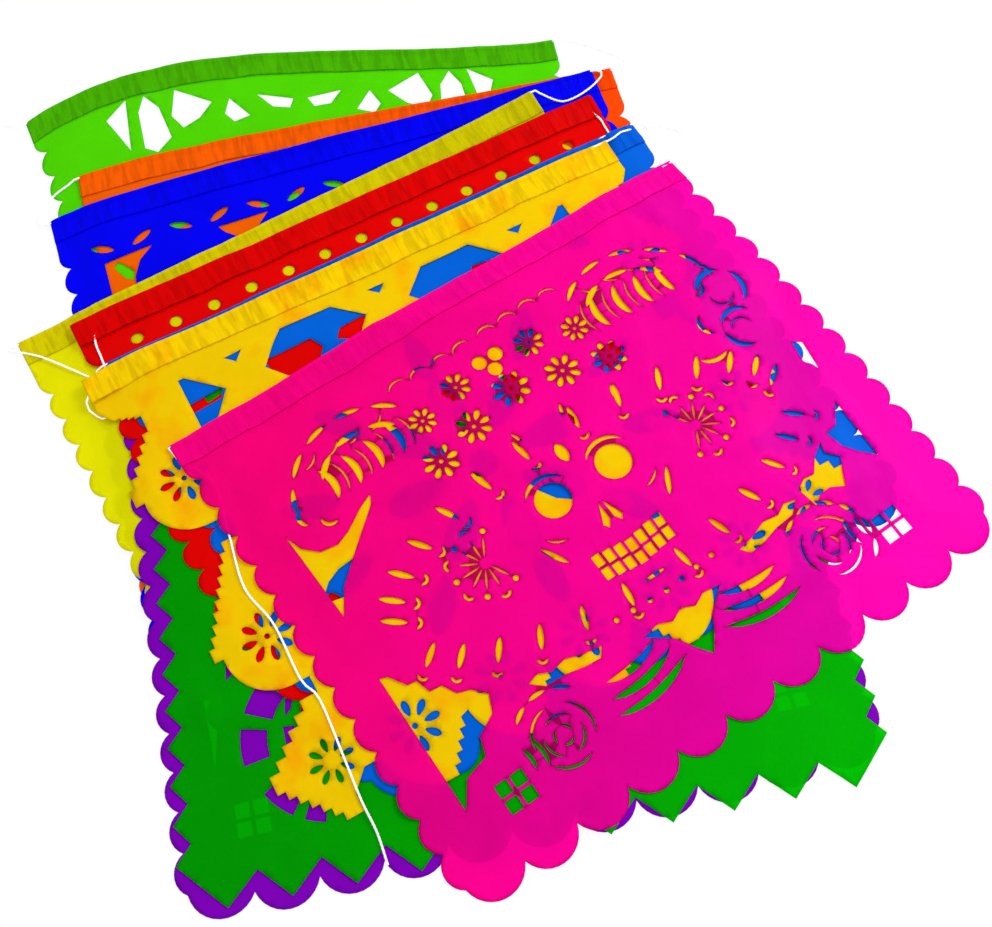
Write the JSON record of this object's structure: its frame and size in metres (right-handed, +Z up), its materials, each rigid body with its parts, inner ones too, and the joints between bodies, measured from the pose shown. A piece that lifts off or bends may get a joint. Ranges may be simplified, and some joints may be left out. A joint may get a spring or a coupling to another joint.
{
  "type": "papel picado banner",
  "caption": "Cut-film papel picado flags hemmed over one white string, lying in a fanned pile with the string's loose end trailing.",
  "frame": {"origin": "middle of the pile of flags on the surface that it lies on, without the string", "axes": "+Z up off the surface, +X to the viewer's right, +Y away from the viewer towards the hems"},
  "size_m": [0.6886, 0.646, 0.0182],
  "materials": {
    "lime_film": "thin translucent film, satin",
    "orange_film": "thin translucent film, satin",
    "blue_film": "thin translucent film, satin",
    "lemon_film": "thin translucent film, satin",
    "purple_film": "thin translucent film, satin",
    "green_film": "thin translucent film, satin",
    "red_film": "thin translucent film, satin",
    "light_blue_film": "thin translucent film, satin",
    "gold_film": "thin translucent film, satin",
    "magenta_film": "thin translucent film, satin",
    "string_cotton": "matt twisted cotton"
  },
  "bodies": {
    "root": {"lime_flag": "lime_film", "orange_flag": "orange_film", "blue_flag": "blue_film", "lemon_flag": "lemon_film", "purple_flag": "purple_film", "green_flag": "green_film", "red_flag": "red_film", "light_blue_flag": "light_blue_film", "gold_flag": "gold_film", "magenta_flag": "magenta_film", "string": "string_cotton"}
  },
  "joints": []
}
